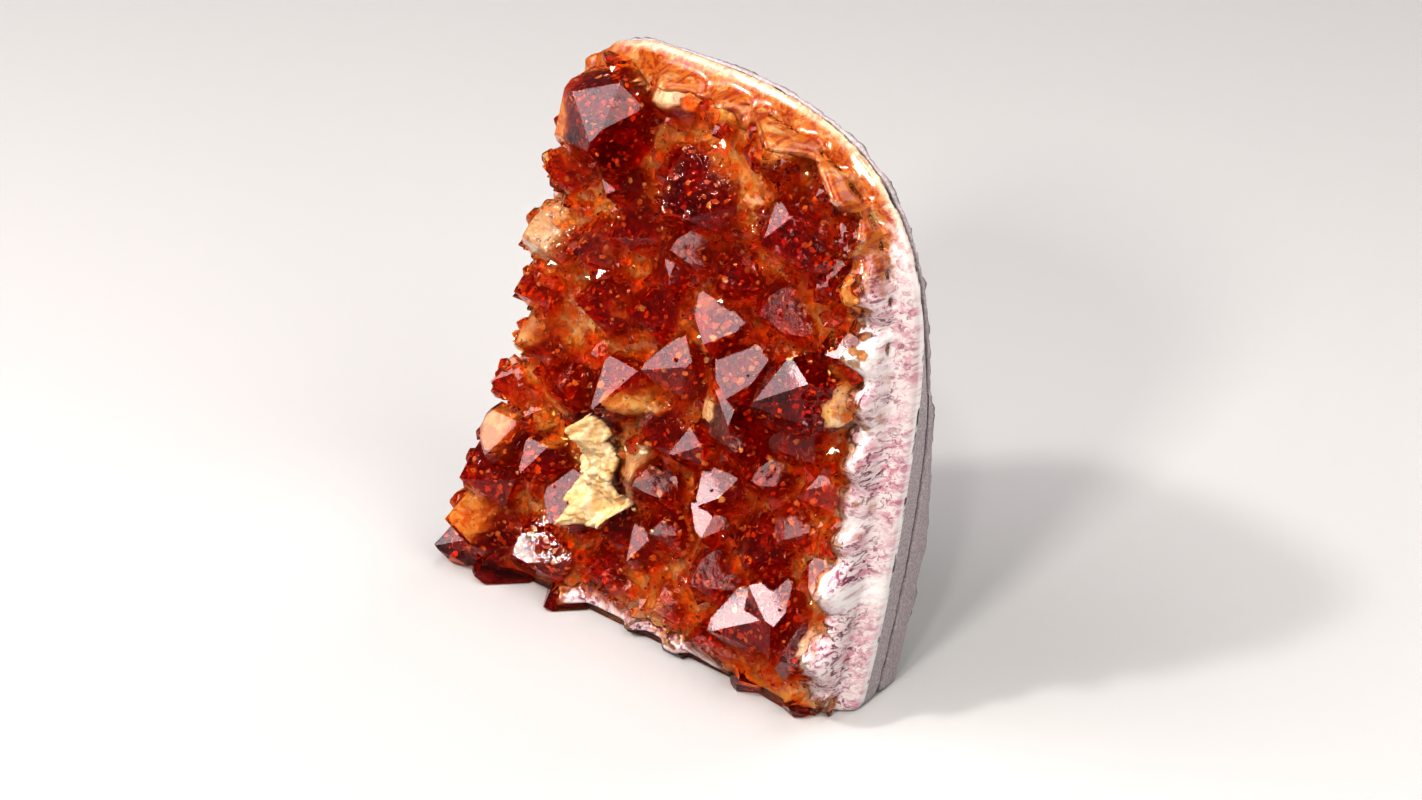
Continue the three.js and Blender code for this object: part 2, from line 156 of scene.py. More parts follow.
class Graph:
    """One material's node tree, with short ways to add the nodes that the finishes use."""

    def __init__(self, name: str) -> None:
        """Starts an empty material.

        Args:
            name: The material's name.
        """
        self.material = bpy.data.materials.new(name)
        self.material.use_nodes = True
        self.tree = self.material.node_tree
        self.tree.nodes.clear()
        self.output = self.add("ShaderNodeOutputMaterial")
        self.place = self.add("ShaderNodeTexCoord").outputs["Object"]

    def add(self, kind: str, **settings: object) -> bpy.types.ShaderNode:
        """Adds a node.

        Args:
            kind: The node's type name.
            **settings: Attributes to set on it.

        Returns:
            The new node.
        """
        node = self.tree.nodes.new(kind)
        for key, value in settings.items():
            setattr(node, key, value)
        return node

    def feed(self, socket: Socket, value: object) -> None:
        """Links a socket to another one, or sets its value.

        Args:
            socket: The input.
            value: An output socket, a number or a colour.
        """
        if isinstance(value, bpy.types.NodeSocket):
            self.tree.links.new(value, socket)
        elif isinstance(value, tuple) and socket.type == "RGBA":
            socket.default_value = (*value, 1.0)
        else:
            socket.default_value = value

    def noise(self, pattern: Pattern, place: Socket | None = None) -> Socket:
        """Fractal noise from 0 to 1.

        Args:
            pattern: Its sizes.
            place: Coordinates, the object's own when left out.

        Returns:
            The noise value.
        """
        node = self.add("ShaderNodeTexNoise")
        self.feed(node.inputs["Vector"], place or self.place)
        self.feed(node.inputs["Scale"], 1.0 / (pattern.size * MM))
        self.feed(node.inputs["Detail"], pattern.octaves)
        self.feed(node.inputs["Roughness"], pattern.rough)
        self.feed(node.inputs["Distortion"], pattern.warp)
        return node.outputs["Fac"]

    def patches(self, pattern: Pattern, place: Socket | None = None) -> Socket:
        """Soft-edged patches of a noise pattern, from 0 to 1."""
        return self.fade(self.noise(pattern, place), *pattern.span)

    def stretched(self, factors: tuple[float, float, float]) -> Socket:
        """Object coordinates turned into the slab's directions and stretched along them.

        Args:
            factors: Factor for x, d and w. A small factor draws the pattern out.

        Returns:
            The coordinates.
        """
        turn = self.add("ShaderNodeMapping")
        self.feed(turn.inputs["Vector"], self.place)
        turn.inputs["Rotation"].default_value = (SLAB.lean, 0.0, 0.0)
        squeeze = self.add("ShaderNodeMapping")
        self.feed(squeeze.inputs["Vector"], turn.outputs["Vector"])
        squeeze.inputs["Scale"].default_value = factors
        return squeeze.outputs["Vector"]

    def attribute(self, name: str) -> Socket:
        """The value of a mesh attribute."""
        return self.add("ShaderNodeAttribute", attribute_name=name).outputs["Fac"]

    def maths(self, operation: str, a: object, b: object) -> Socket:
        """A sum on two values.

        Args:
            operation: Blender's name for it.
            a: First value or socket.
            b: Second value or socket.

        Returns:
            The result.
        """
        node = self.add("ShaderNodeMath", operation=operation)
        self.feed(node.inputs[0], a)
        self.feed(node.inputs[1], b)
        return node.outputs[0]

    def times(self, a: object, b: object) -> Socket:
        """Two values multiplied."""
        return self.maths("MULTIPLY", a, b)

    def fade(self, value: Socket, start: float, end: float) -> Socket:
        """0 before start and 1 after end, smooth between.

        Args:
            value: What is tested.
            start: Where the result leaves 0.
            end: Where it reaches 1.

        Returns:
            The faded value.
        """
        node = self.add("ShaderNodeMapRange", interpolation_type="SMOOTHSTEP")
        self.feed(node.inputs["Value"], value)
        self.feed(node.inputs["From Min"], start)
        self.feed(node.inputs["From Max"], end)
        return node.outputs["Result"]

    def between(self, value: Socket, low: float, high: float) -> Socket:
        """A value from 0 to 1 carried to another range.

        Args:
            value: What is carried over.
            low: What 0 becomes.
            high: What 1 becomes.

        Returns:
            The new value.
        """
        node = self.add("ShaderNodeMapRange")
        self.feed(node.inputs["Value"], value)
        self.feed(node.inputs["To Min"], low)
        self.feed(node.inputs["To Max"], high)
        return node.outputs["Result"]

    def mix(self, share: object, a: object, b: object) -> Socket:
        """Mixes two colours.

        Args:
            share: How much of b, from 0 to 1.
            a: First colour or socket.
            b: Second colour or socket.

        Returns:
            The mixed colour.
        """
        node = self.add("ShaderNodeMix", data_type="RGBA")
        self.feed(node.inputs["Factor"], share)
        self.feed(node.inputs[6], a)
        self.feed(node.inputs[7], b)
        return node.outputs[2]

    def bump(self, height: Socket, depth: float, strength: object) -> Socket:
        """Relief in the shading.

        Args:
            height: Heights from 0 to 1.
            depth: Metres that a height of 1 stands for.
            strength: Share of the relief that is used.

        Returns:
            The bent normal.
        """
        node = self.add("ShaderNodeBump")
        self.feed(node.inputs["Height"], height)
        self.feed(node.inputs["Distance"], depth)
        self.feed(node.inputs["Strength"], strength)
        return node.outputs["Normal"]

    def surface(self, **values: object) -> bpy.types.ShaderNode:
        """Adds the surface shader and links it to the output.

        Args:
            **values: Inputs by name, with _ for each space.

        Returns:
            The shader node.
        """
        shader = self.add("ShaderNodeBsdfPrincipled")
        for key, value in values.items():
            self.feed(shader.inputs[key.replace("_", " ")], value)
        self.tree.links.new(shader.outputs[0], self.output.inputs["Surface"])
        return shader


@dataclass(frozen=True)
class CitrineFinish:
    """Clear citrine: golden where thin, deep red where thick, etched on all but the brightest facets."""

    name: str = "citrine"
    ior: float = 1.544
    absorbed: Colour = (0.952, 0.61, 0.10)
    density: float = 950.0
    clear: Colour = (1.0, 0.97, 0.93)
    amber: Colour = (1.0, 0.78, 0.5)
    stains: Pattern = Pattern(9.0, 1.0, span=(0.42, 0.66))
    frost: Pattern = Pattern(4.0, 2.0, 0.65, span=(0.54, 0.7))
    grain: Pattern = Pattern(1.2, 3.0, 0.65)
    bright_way: tuple[float, float, float] = (0.0, -0.627, 0.779)
    bright_until: Span = (0.985, 0.93)
    etching: float = 0.22 * MM
    etching_strength: float = 0.8
    etched_share: Span = (0.35, 1.0)
    bright_share: float = 0.015
    roughness: Span = (0.01, 0.05)

    def build(self) -> bpy.types.Material:
        """Makes the material.

        Returns:
            The material.
        """
        g = Graph(self.name)
        frost = g.patches(self.frost)
        facing = g.add("ShaderNodeVectorMath", operation="DOT_PRODUCT")
        g.feed(facing.inputs[0], g.add("ShaderNodeNewGeometry").outputs["True Normal"])
        facing.inputs[1].default_value = self.bright_way
        etched = g.fade(facing.outputs["Value"], *self.bright_until)
        share = g.times(etched, g.between(frost, *self.etched_share))
        relief = g.times(g.noise(self.grain), g.maths("ADD", share, self.bright_share))
        shader = g.surface(
            Base_Color=g.mix(g.patches(self.stains), self.clear, self.amber),
            Roughness=g.between(frost, *self.roughness),
            Normal=g.bump(relief, self.etching, self.etching_strength),
        )
        shader.inputs["Transmission Weight"].default_value = 1.0
        shader.inputs["IOR"].default_value = self.ior
        volume = g.add("ShaderNodeVolumeAbsorption")
        volume.inputs["Color"].default_value = (*self.absorbed, 1.0)
        volume.inputs["Density"].default_value = self.density
        g.tree.links.new(volume.outputs[0], g.output.inputs["Volume"])
        return g.material


@dataclass(frozen=True)
class MilkyFinish:
    """Milky quartz at the crystals' roots: cream and gold, turning white and lilac towards the rim."""

    name: str = "milky_roots"
    cream: Colour = (0.99, 0.90, 0.62)
    gold: Colour = (0.98, 0.68, 0.20)
    amber: Colour = (0.78, 0.28, 0.04)
    wine: Colour = (0.34, 0.08, 0.015)
    white: Colour = (0.99, 0.96, 0.94)
    pink: Colour = (0.88, 0.68, 0.70)
    lilac: Colour = (0.36, 0.10, 0.14)
    broad: Pattern = Pattern(6.0, 4.0, 0.6, 0.5, (0.4, 0.62))
    fine: Pattern = Pattern(1.5, 5.0, 0.65, 0.6, (0.42, 0.66))
    specks: Pattern = Pattern(0.9, 4.0, 0.65, 0.9, (0.57, 0.66))
    mottle: Pattern = Pattern(2.4, 3.0, 0.6, 0.7, (0.44, 0.6))
    grain: Pattern = Pattern(0.5, 4.0, 0.6)
    amber_share: float = 0.75
    speck_share: float = 0.6
    deep_share: Span = (0.95, 0.6)
    pink_share: float = 0.8
    roughness: float = 0.5
    relief: float = 0.15 * MM
    relief_strength: float = 0.8

    def build(self) -> bpy.types.Material:
        """Makes the material.

        Returns:
            The material.
        """
        g = Graph(self.name)
        fine = g.patches(self.fine)
        specks = g.patches(self.specks)
        warm = g.mix(fine, g.mix(g.patches(self.broad), self.cream, self.gold), self.gold)
        warm = g.mix(g.times(g.patches(self.mottle), self.amber_share), warm, self.amber)
        warm = g.mix(g.times(specks, self.speck_share), warm, self.wine)
        warm = g.mix(g.times(g.attribute("deep"), g.between(fine, *self.deep_share)), warm, self.wine)
        cool = g.mix(g.times(fine, self.pink_share), self.white, self.pink)
        cool = g.mix(specks, cool, self.lilac)
        g.surface(
            Base_Color=g.mix(g.attribute("pale"), warm, cool),
            Roughness=self.roughness,
            Normal=g.bump(g.noise(self.grain), self.relief, self.relief_strength),
        )
        return g.material


@dataclass(frozen=True)
class ScarFinish:
    """Rough cream quartz of a broken crystal."""

    name: str = "cream_scar"
    cream: Colour = (0.58, 0.38, 0.18)
    pale: Colour = (0.68, 0.55, 0.37)
    yellow: Colour = (0.46, 0.20, 0.05)
    lumps: Pattern = Pattern(2.6, 4.0, 0.6, 0.4, (0.4, 0.64))
    grain: Pattern = Pattern(0.4, 5.0, 0.7, span=(0.52, 0.75))
    roughness: float = 0.6
    relief: float = 0.25 * MM
    relief_strength: float = 0.9

    def build(self) -> bpy.types.Material:
        """Makes the material.

        Returns:
            The material.
        """
        g = Graph(self.name)
        grain = g.noise(self.grain)
        tint = g.mix(g.patches(self.lumps), self.cream, self.pale)
        g.surface(
            Base_Color=g.mix(g.fade(grain, *self.grain.span), tint, self.yellow),
            Roughness=self.roughness,
            Normal=g.bump(grain, self.relief, self.relief_strength),
        )
        return g.material


@dataclass(frozen=True)
class InclusionFinish:
    """Bright flaws inside the crystals, gold to cream."""

    name: str = "inclusions"
    gold: Colour = (0.95, 0.62, 0.20)
    cream: Colour = (0.98, 0.90, 0.72)
    paling: Pattern = Pattern(2.0, 3.0, span=(0.4, 0.6))
    roughness: float = 0.35

    def build(self) -> bpy.types.Material:
        """Makes the material.

        Returns:
            The material.
        """
        g = Graph(self.name)
        tint = g.mix(g.patches(self.paling), self.gold, self.cream)
        g.surface(Base_Color=tint, Roughness=self.roughness)
        return g.material


@dataclass(frozen=True)
class PolishedQuartzFinish:
    """The ground and polished rim: amber beside the crystals, then lilac and white; at the crest the white
    band beside the rock is darkened to cream as painted shade against the strong light from above.
    """

    name: str = "polished_quartz"
    white: Colour = (0.56, 0.50, 0.49)
    pink: Colour = (0.44, 0.23, 0.27)
    lilac: Colour = (0.15, 0.035, 0.07)
    cream: Colour = (0.40, 0.25, 0.11)
    honey: Colour = (0.34, 0.115, 0.017)
    amber: Colour = (0.24, 0.038, 0.005)
    skin: Colour = (0.60, 0.57, 0.56)
    green: Colour = (0.02, 0.03, 0.02)
    columns: tuple[float, float, float] = (1.0, 0.16, 1.0)
    drawn: tuple[float, float, float] = (1.0, 0.4, 1.0)
    streaks: Pattern = Pattern(1.2, 5.0, 0.62, 0.5, (0.42, 0.62))
    clouds: Pattern = Pattern(9.0, 3.0, 0.5, 0.3, (0.36, 0.62))
    specks: Pattern = Pattern(1.1, 5.0, 0.68, 0.9, (0.51, 0.60))
    stains: Pattern = Pattern(4.0, 4.0, 0.65, 0.6, (0.3, 0.52))
    green_spots: Pattern = Pattern(8.0, 3.0, 0.6, 0.8, (0.5, 0.62))
    drift: Pattern = Pattern(3.0)
    ripples: Pattern = Pattern(1.1, 3.0)
    crest: Span = (80 * MM, 104 * MM)
    crest_share: Span = (0.5, 1.0)
    crest_reach: float = 7.5 * MM
    crest_painted_shade: float = 0.7
    warm_drift: float = 3 * MM
    warm_from: Span = (0.5 * MM, 3.5 * MM)
    pink_share: Span = (0.35, 1.0)
    speck_from: Span = (-8 * MM, 1 * MM)
    speck_share: Span = (0.45, 1.0)
    crest_specks: Span = (1.0, 0.25)
    skin_share: Span = (1.0, 0.5)
    rock_below: Span = (80 * MM, 45 * MM)
    rock_reach: float = 4.2 * MM
    skin_edge: Span = (2.2 * MM, 1.3 * MM)
    green_edge: Span = (1.15 * MM, 0.7 * MM)
    rock_edge: Span = (0.5 * MM, 0.3 * MM)
    roughness: Span = (0.1, 0.3)
    relief: float = 0.05 * MM
    relief_strength: float = 0.4

    def rim_tint(self, g: Graph, high: Socket, streaks: Socket, drift: Socket) -> Socket:
        """Colour of the quartz, from the crystals to the rock.

        Args:
            g: The node tree.
            high: Share of the crest.
            streaks: Share of the streaks.
            drift: Slow noise from 0 to 1.

        Returns:
            The colour.
        """
        depth = g.attribute("depth")
        clouds = g.patches(self.clouds)
        specks = g.patches(self.specks, g.stretched(self.drawn))
        wander = g.between(drift, -self.warm_drift, self.warm_drift)
        warm = g.maths("ADD", g.maths("ADD", depth, wander), g.between(high, 0.0, self.crest_reach))
        warm = g.fade(warm, *self.warm_from)
        crest = g.times(high, g.between(clouds, *self.crest_share))
        tint = g.mix(g.times(streaks, g.between(clouds, *self.pink_share)), self.white, self.pink)
        tint = g.mix(crest, tint, g.mix(streaks, self.white, self.honey))
        stained = g.mix(g.patches(self.stains), self.cream, g.mix(streaks, self.honey, self.amber))
        tint = g.mix(warm, tint, stained)
        near = g.times(g.fade(depth, *self.speck_from), g.between(crest, *self.crest_specks))
        spotted = g.times(g.times(specks, near), g.between(clouds, *self.speck_share))
        return g.mix(spotted, tint, self.lilac)

    def build(self) -> bpy.types.Material:
        """Makes the material.

        Returns:
            The material.
        """
        g = Graph(self.name)
        columns = g.stretched(self.columns)
        streaks = g.patches(self.streaks, columns)
        drift = g.noise(self.drift)
        split = g.add("ShaderNodeSeparateXYZ")
        g.feed(split.inputs[0], g.place)
        height = split.outputs["Z"]
        high = g.fade(height, *self.crest)
        skin_share = g.between(streaks, *self.skin_share)
        tint = self.rim_tint(g, high, streaks, drift)
        tint = g.mix(g.times(g.attribute("bare"), skin_share), tint, self.skin)
        strip = g.between(g.fade(height, *self.rock_below), 0.0, self.rock_reach)
        rind_gap = g.maths("SUBTRACT", g.attribute("rind_gap"), strip)
        band = g.times(g.fade(rind_gap, *self.skin_edge), skin_share)
        # Painted shade: towards the crest the white band beside the rock turns to darker cream, because the
        # light from above falls strongest there.
        tint = g.mix(band, tint, g.mix(g.times(high, self.crest_painted_shade), self.skin, self.cream))
        green = g.times(g.fade(rind_gap, *self.green_edge), g.patches(self.green_spots))
        tint = g.mix(green, tint, self.green)
        rock = g.mix(g.patches(ROCK_GRAIN), SAWN_ROCK, PALE_ROCK)
        g.surface(
            Base_Color=g.mix(g.fade(rind_gap, *self.rock_edge), tint, rock),
            Roughness=g.between(drift, *self.roughness),
            Normal=g.bump(g.noise(self.ripples, columns), self.relief, self.relief_strength),
        )
        return g.material


@dataclass(frozen=True)
class RockFinish:
    """Fine-grained volcanic rock, grey-mauve where sawn and darker on its natural back."""

    name: str = "volcanic_rock"
    natural: Colour = (0.21, 0.19, 0.175)
    green: Colour = (0.14, 0.165, 0.12)
    patches: Pattern = Pattern(9.0, 5.0, 0.6, 0.4, (0.4, 0.66))
    natural_from: Span = (0.2, 0.8)
    natural_grain: Span = (0.4, 0.75)
    roughness: Span = (0.5, 0.9)
    relief: float = 0.25 * MM
    relief_strength: Span = (0.25, 0.9)

    def build(self) -> bpy.types.Material:
        """Makes the material.

        Returns:
            The material.
        """
        g = Graph(self.name)
        grain = g.noise(ROCK_GRAIN)
        back = g.fade(g.attribute("natural"), *self.natural_from)
        sawn = g.mix(g.fade(grain, *ROCK_GRAIN.span), SAWN_ROCK, PALE_ROCK)
        natural = g.mix(g.patches(self.patches), self.natural, self.green)
        natural = g.mix(g.fade(grain, *self.natural_grain), natural, SAWN_ROCK)
        g.surface(
            Base_Color=g.mix(back, sawn, natural),
            Roughness=g.between(back, *self.roughness),
            Normal=g.bump(grain, self.relief, g.between(back, *self.relief_strength)),
        )
        return g.material


@dataclass(frozen=True)
class FloorFinish:
    """A plain pale floor."""

    name: str = "floor"
    tint: Colour = (0.40, 0.395, 0.39)
    roughness: float = 0.55

    def build(self) -> bpy.types.Material:
        """Makes the material.

        Returns:
            The material.
        """
        g = Graph(self.name)
        g.surface(Base_Color=self.tint, Roughness=self.roughness)
        return g.material


def linked(name: str, data: bpy.types.ID) -> bpy.types.Object:
    """A new object in the scene.

    Args:
        name: Its name.
        data: Its mesh, light or camera.

    Returns:
        The object.
    """
    obj = bpy.data.objects.new(name, data)
    bpy.context.collection.objects.link(obj)
    return obj


def shade(obj: bpy.types.Object, smooth: bool) -> None:
    """Shades all faces of an object smooth or flat."""
    obj.data.polygons.foreach_set("use_smooth", np.full(len(obj.data.polygons), smooth))


def new_object(name: str, points: Sequence, faces: list[list[int]], smooth: bool) -> bpy.types.Object:
    """A mesh object in the row frame.

    Args:
        name: Its name.
        points: Vertex places in metres.
        faces: Vertex numbers of each face.
        smooth: Whether its faces are shaded smooth.

    Returns:
        The linked object.
    """
    mesh = bpy.data.meshes.new(name)
    mesh.from_pydata([tuple(map(float, p)) for p in points], [], faces)
    mesh.update()
    obj = linked(name, mesh)
    shade(obj, smooth)
    return obj


def closed_shell(
    name: str, front: Sequence[Vector], back: Sequence[Vector], quads: list[list[int]]
) -> bpy.types.Object:
    """A thin closed body between two skins of the same faces.

    Args:
        name: The new object's name.
        front: Vertex places of the outer skin.
        back: Vertex places of the inner skin.
        quads: Faces of the outer skin, turned outwards.

    Returns:
        The body, with all its front vertices before all its back vertices.
    """
    count = len(front)
    sides = {(a, b) for quad in quads for a, b in zip(quad, quad[1:] + quad[:1])}
    faces = quads + [[v + count for v in reversed(quad)] for quad in quads]
    faces += [[b, a, a + count, b + count] for a, b in sides if (b, a) not in sides]
    return new_object(name, [*front, *back], faces, True)


def vertices(obj: bpy.types.Object) -> np.ndarray:
    """An object's vertex places.

    Args:
        obj: The mesh object.

    Returns:
        The places, one a line.
    """
    places = np.empty(len(obj.data.vertices) * 3)
    obj.data.vertices.foreach_get("co", places)
    return places.reshape(-1, 3)


def vertex_normals(obj: bpy.types.Object) -> np.ndarray:
    """An object's vertex normals, one a line."""
    return np.array([tuple(n.vector) for n in obj.data.vertex_normals])


def move_vertices(obj: bpy.types.Object, places: np.ndarray) -> None:
    """Gives an object's vertices new places."""
    obj.data.vertices.foreach_set("co", places.ravel())
    obj.data.update()


def add_attribute(obj: bpy.types.Object, name: str, values: np.ndarray) -> None:
    """Stores one number a vertex on a mesh.

    Args:
        obj: The mesh object.
        name: The attribute's name.
        values: One number a vertex.
    """
    attribute = obj.data.attributes.new(name, "FLOAT", "POINT")
    attribute.data.foreach_set("value", values.astype(np.float32))


def tree_of(layer: Layer) -> BVHTree:
    """A search tree over a layer's solid."""
    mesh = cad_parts[layer.value].data
    return BVHTree.FromPolygons([v.co for v in mesh.vertices], [p.vertices for p in mesh.polygons])


def gaps(points: np.ndarray, tree: BVHTree) -> np.ndarray:
    """Distance from each point to a layer's surface."""
    return np.array([tree.find_nearest(Vector(p))[3] for p in points])


def plain_copy(layer: Layer, name: str) -> bpy.types.Object:
    """A copy of a layer's solid, with its shared corners welded.

    Args:
        layer: Which layer.
        name: The new object's name.

    Returns:
        The new object.
    """
    body = bmesh.new()
    body.from_mesh(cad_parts[layer.value].data)
    bmesh.ops.remove_doubles(body, verts=body.verts, dist=WELD)
    mesh = bpy.data.meshes.new(name)
    body.to_mesh(mesh)
    body.free()
    obj = linked(name, mesh)
    shade(obj, False)
    return obj


def settle(obj: bpy.types.Object) -> None:
    """Turns an object's modifiers into mesh.

    Args:
        obj: The object.
    """
    seen = obj.evaluated_get(bpy.context.evaluated_depsgraph_get())
    mesh = bpy.data.meshes.new_from_object(seen)
    obj.modifiers.clear()
    obj.data = mesh


def combine(obj: bpy.types.Object, extra: bpy.types.Object, operation: str) -> None:
    """Joins a second solid to an object or cuts it away, and removes it.

    Args:
        obj: The object that changes.
        extra: The second solid.
        operation: UNION or DIFFERENCE.
    """
    boolean = obj.modifiers.new("combine", "BOOLEAN")
    boolean.operation = operation
    boolean.solver = "MANIFOLD"
    boolean.object = extra
    settle(obj)
    bpy.data.objects.remove(extra)


def even_out(obj: bpy.types.Object, voxel: float, rounds: int) -> None:
    """Gives an object an even, fine and smooth mesh.

    Args:
        obj: The object.
        voxel: Size of the new faces in metres.
        rounds: Rounds of smoothing.
    """
    remesh = obj.modifiers.new("even", "REMESH")
    remesh.mode = "VOXEL"
    remesh.voxel_size = voxel
    soften = obj.modifiers.new("soften", "SMOOTH")
    soften.iterations = rounds
    settle(obj)
    shade(obj, True)


def turbulence(points: np.ndarray, size: float, octaves: int = 4) -> np.ndarray:
    """Smooth noise, about -1 to 1, at each point.

    Args:
        points: Places in metres.
        size: Width of its features in metres.
        octaves: How many finer layers are added.

    Returns:
        One number a point.
    """
    return np.array([noise.fractal(Vector(p) / size, OCTAVE_FALL, OCTAVE_FINER, octaves) for p in points])


def fade(values: np.ndarray, start: float, end: float) -> np.ndarray:
    """0 before start and 1 after end, smooth between.

    Args:
        values: What is tested.
        start: Where the result leaves 0.
        end: Where it reaches 1, which may lie below start.

    Returns:
        The faded values.
    """
    share = np.clip((values - start) / (end - start), 0.0, 1.0)
    return share * share * (3.0 - 2.0 * share)


def dress(obj: bpy.types.Object, material: bpy.types.Material) -> None:
    """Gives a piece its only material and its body.

    Args:
        obj: The piece.
        material: The finish.
    """
    obj.data.materials.clear()
    obj.data.materials.append(material)
    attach(obj, "root")
    LOG.info("%s: %d faces", obj.name, len(obj.data.polygons))


@dataclass
class Ground:
    """The crust measured over a grid on the slab's face, for what grows on it and lies in it."""

    step: float = 0.6 * MM
    box: tuple[float, float, float, float] = (-47 * MM, 48 * MM, 1 * MM, 114 * MM)
    far: float = 60 * MM
    polished_from: Span = (-8 * MM, 6 * MM)
    foot: Span = (3 * MM, 17 * MM)
    crust: BVHTree = field(init=False)
    wall: BVHTree = field(init=False)
    across: np.ndarray = field(init=False)
    along: np.ndarray = field(init=False)
    front: np.ndarray = field(init=False)
    back: np.ndarray = field(init=False)

    def __post_init__(self) -> None:
        """Measures the grid."""
        self.crust = tree_of(Layer.CRUST)
        self.wall = tree_of(Layer.WALL)
        xs = np.arange(self.box[0], self.box[1], self.step)
        ws = np.arange(self.box[2], self.box[3], self.step)
        self.across, self.along = np.meshgrid(xs, ws, indexing="ij")
        depths = [self.depths(x, w) for x, w in zip(self.across.ravel(), self.along.ravel())]
        self.front, self.back = np.array(depths).T.reshape(2, *self.across.shape)

    def depths(self, x: float, w: float) -> tuple[float, float]:
        """Depth of the crust's front and back at one place.

        Args:
            x: Metres across.
            w: Metres up along the face.

        Returns:
            Both depths, or twice not-a-number beside the crust.
        """
        ahead = self.crust.ray_cast(SLAB.place(x, w, -self.far), SLAB.inwards)[3]
        behind = self.crust.ray_cast(SLAB.place(x, w, self.far), -SLAB.inwards)[3]
        if ahead is None or behind is None:
            return math.nan, math.nan
        return ahead - self.far, self.far - behind

    @property
    def inside(self) -> np.ndarray:
        """Where the grid lies on the crust."""
        return ~np.isnan(self.front)

    @property
    def thick(self) -> np.ndarray:
        """The crust's thickness."""
        return self.back - self.front

    @property
    def spots(self) -> np.ndarray:
        """The grid's places in the slab, one a line."""
        return np.stack([self.across.ravel(), self.along.ravel(), np.zeros(self.across.size)], axis=1)

    def noise(self, size: float) -> np.ndarray:
        """Smooth noise over the grid."""
        return turbulence(self.spots, size).reshape(self.across.shape)

    def shrunk(self, rounds: int = 1) -> np.ndarray:
        """Where the grid lies on the crust and clear of its edge.

        Args:
            rounds: How many steps clear of it.

        Returns:
            True where it does.
        """
        kept = self.inside
        for _ in range(rounds):
            grown = kept.copy()
            for shift in STEPS:
                grown &= np.roll(kept, shift, (0, 1))
            kept = grown
        return kept

    def rim_line(self) -> np.ndarray:
        """Places along the crust's edge beside the polished rim.

        Returns:
            Their x and w, one place a line.
        """
        edge = self.inside & ~self.shrunk()
        foot = (self.along < self.polished_from[1]) & (np.abs(self.across - self.foot[0]) < self.foot[1])
        edge &= foot | (self.across > self.polished_from[0]) & (self.along > self.polished_from[1])
        return np.stack([self.across[edge], self.along[edge]], axis=1)

    def rim_gap(self, across: np.ndarray, along: np.ndarray) -> np.ndarray:
        """Distance of places on the face to the crust's edge beside the polished rim.

        Args:
            across: Their x.
            along: Their w.

        Returns:
            The distances.
        """
        nearest = np.full(across.shape, np.inf)
        for x, w in self.rim_line():
            nearest = np.minimum(nearest, np.hypot(across - x, along - w))
        return nearest

    def landing(self, x: float, w: float) -> tuple[Vector, Vector]:
        """The first surface met behind a place on the crust.

        Args:
            x: Metres across.
            w: Metres up along the face.

        Returns:
            The place and the surface's normal.
        """
        start = SLAB.place(x, w, -self.far)
        hits = [tree.ray_cast(start, SLAB.inwards) for tree in (self.crust, self.wall)]
        place, normal, _, _ = min((hit for hit in hits if hit[0] is not None), key=lambda hit: hit[3])
        return place, normal

    def sheet(self, name: str, kept: np.ndarray, front: np.ndarray, back: np.ndarray) -> bpy.types.Object:
        """A closed layer between two depths.

        Args:
            name: The new object's name.
            kept: Which places of the grid it covers.
            front: Depth of its front.
            back: Depth of its back.

        Returns:
            The layer, with all its front vertices before all its back vertices.
        """
        number = np.full(kept.shape, -1)
        count = int(kept.sum())
        number[kept] = np.arange(count)
        places = list(zip(self.across[kept], self.along[kept]))
        outer = [SLAB.place(x, w, d) for (x, w), d in zip(places, front[kept])]
        inner = [SLAB.place(x, w, d) for (x, w), d in zip(places, back[kept])]
        corners = np.stack([number[:-1, :-1], number[1:, :-1], number[1:, 1:], number[:-1, 1:]], axis=-1)
        return closed_shell(name, outer, inner, corners[(corners >= 0).all(axis=-1)].tolist())


@dataclass(frozen=True)
class Patch:
    """An oval on the face, in millimetres, where milky quartz comes up close under the surface."""

    x: float
    w: float
    half_width: float
    half_height: float
    cover: float
    pale: float = 0.0


